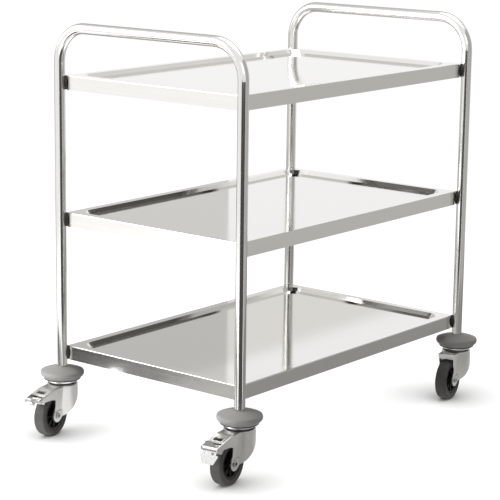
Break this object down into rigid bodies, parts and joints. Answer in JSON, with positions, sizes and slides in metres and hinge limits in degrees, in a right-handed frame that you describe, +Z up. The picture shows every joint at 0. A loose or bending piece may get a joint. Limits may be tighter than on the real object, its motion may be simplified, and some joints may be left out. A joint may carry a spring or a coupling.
{
  "type": "serving trolley",
  "caption": "Stainless steel serving trolley: sunk tray shelves between bent tube end frames with push rails, round wall bumpers, and swivel castors with pedal brakes at one end.",
  "frame": {"origin": "on the floor, under the middle of the whole trolley's bounding box", "axes": "+Z up; +X along the shelves' length, away from the end whose castors have brakes; +Y across the shelves"},
  "size_m": [1.0834, 0.649, 0.976],
  "materials": {
    "tube": "polished stainless steel tube",
    "tray": "satin stainless steel sheet",
    "small_steel": "bright steel fasteners",
    "castor_steel": "bright zinc plated pressed steel",
    "cup": "bright turned steel",
    "bumper": "matte grey rubber",
    "seal": "black rubber",
    "tyre": "dark grey non-marking rubber",
    "hub": "black moulded plastic",
    "sleeve": "dark plastic"
  },
  "bodies": {
    "frame": {"left_end_frame": "tube", "right_end_frame": "tube", "bottom_tray": "tray", "middle_tray": "tray", "top_tray": "tray", "shelf_spacers": "seal", "shelf_screws": "small_steel", "tube_inserts": "small_steel", "castor_stems": "small_steel", "expander_sleeves": "sleeve", "cone_nuts": "small_steel", "bumper_front_left": "bumper", "dust_seal_front_left": "seal", "swivel_cup_front_left": "cup", "bumper_back_left": "bumper", "dust_seal_back_left": "seal", "swivel_cup_back_left": "cup", "bumper_front_right": "bumper", "dust_seal_front_right": "seal", "swivel_cup_front_right": "cup", "bumper_back_right": "bumper", "dust_seal_back_right": "seal", "swivel_cup_back_right": "cup"},
    "pedal_front_left": {"brake_pedal_front_left": "castor_steel"},
    "blade_front_left": {"brake_blade_front_left": "castor_steel"},
    "swivel_front_left": {"fork_front_left": "castor_steel", "ball_ring_front_left": "small_steel", "axle_bolt_front_left": "small_steel", "axle_nut_front_left": "small_steel", "pedal_pin_front_left": "small_steel", "brake_blade_pin_front_left": "small_steel"},
    "wheel_front_left": {"tyre_front_left": "tyre", "wheel_hub_front_left": "hub", "axle_bush_front_left": "small_steel"},
    "pedal_back_left": {"brake_pedal_back_left": "castor_steel"},
    "blade_back_left": {"brake_blade_back_left": "castor_steel"},
    "swivel_back_left": {"fork_back_left": "castor_steel", "ball_ring_back_left": "small_steel", "axle_bolt_back_left": "small_steel", "axle_nut_back_left": "small_steel", "pedal_pin_back_left": "small_steel", "brake_blade_pin_back_left": "small_steel"},
    "wheel_back_left": {"tyre_back_left": "tyre", "wheel_hub_back_left": "hub", "axle_bush_back_left": "small_steel"},
    "swivel_front_right": {"fork_front_right": "castor_steel", "ball_ring_front_right": "small_steel", "axle_bolt_front_right": "small_steel", "axle_nut_front_right": "small_steel"},
    "wheel_front_right": {"tyre_front_right": "tyre", "wheel_hub_front_right": "hub", "axle_bush_front_right": "small_steel"},
    "swivel_back_right": {"fork_back_right": "castor_steel", "ball_ring_back_right": "small_steel", "axle_bolt_back_right": "small_steel", "axle_nut_back_right": "small_steel"},
    "wheel_back_right": {"tyre_back_right": "tyre", "wheel_hub_back_right": "hub", "axle_bush_back_right": "small_steel"}
  },
  "joints": [
    {"name": "swivel_front_left", "type": "hinge", "parent": "frame", "child": "swivel_front_left", "pos_m": [-0.39235, -0.2725, 0.121], "axis": [0, 0, 1], "continuous": true},
    {"name": "roll_front_left", "type": "hinge", "parent": "swivel_front_left", "child": "wheel_front_left", "pos_m": [-0.44198, -0.27859, 0.05], "axis": [0.1219, -0.9925, 0], "continuous": true},
    {"name": "brake_pedal_front_left", "type": "hinge", "parent": "swivel_front_left", "child": "pedal_front_left", "pos_m": [-0.50947, -0.28688, 0.1], "axis": [-0.1219, 0.9925, 0], "range_deg": [0, 95]},
    {"name": "brake_blade_front_left", "type": "hinge", "parent": "swivel_front_left", "child": "blade_front_left", "pos_m": [-0.44198, -0.27859, 0.108], "axis": [-0.1219, 0.9925, 0], "range_deg": [0, 7.5]},
    {"name": "swivel_back_left", "type": "hinge", "parent": "frame", "child": "swivel_back_left", "pos_m": [-0.39235, 0.2725, 0.121], "axis": [0, 0, 1], "continuous": true},
    {"name": "roll_back_left", "type": "hinge", "parent": "swivel_back_left", "child": "wheel_back_left", "pos_m": [-0.44159, 0.26382, 0.05], "axis": [0.1736, -0.9848, 0], "continuous": true},
    {"name": "brake_pedal_back_left", "type": "hinge", "parent": "swivel_back_left", "child": "pedal_back_left", "pos_m": [-0.50855, 0.25201, 0.1], "axis": [-0.1736, 0.9848, 0], "range_deg": [-95, 0]},
    {"name": "brake_blade_back_left", "type": "hinge", "parent": "swivel_back_left", "child": "blade_back_left", "pos_m": [-0.44159, 0.26382, 0.108], "axis": [-0.1736, 0.9848, 0], "range_deg": [-7.5, 0]},
    {"name": "swivel_front_right", "type": "hinge", "parent": "frame", "child": "swivel_front_right", "pos_m": [0.48965, -0.2725, 0.121], "axis": [0, 0, 1], "continuous": true},
    {"name": "roll_front_right", "type": "hinge", "parent": "swivel_front_right", "child": "wheel_front_right", "pos_m": [0.44041, -0.28118, 0.05], "axis": [0.1736, -0.9848, 0], "continuous": true},
    {"name": "swivel_back_right", "type": "hinge", "parent": "frame", "child": "swivel_back_right", "pos_m": [0.48965, 0.2725, 0.121], "axis": [0, 0, 1], "continuous": true},
    {"name": "roll_back_right", "type": "hinge", "parent": "swivel_back_right", "child": "wheel_back_right", "pos_m": [0.44014, 0.26554, 0.05], "axis": [0.1392, -0.9903, 0], "continuous": true}
  ],
  "couplings": [
    {"joint": "brake_blade_front_left", "follows": "brake_pedal_front_left", "ratio": 0.078947},
    {"joint": "brake_blade_back_left", "follows": "brake_pedal_back_left", "ratio": 0.078947}
  ]
}
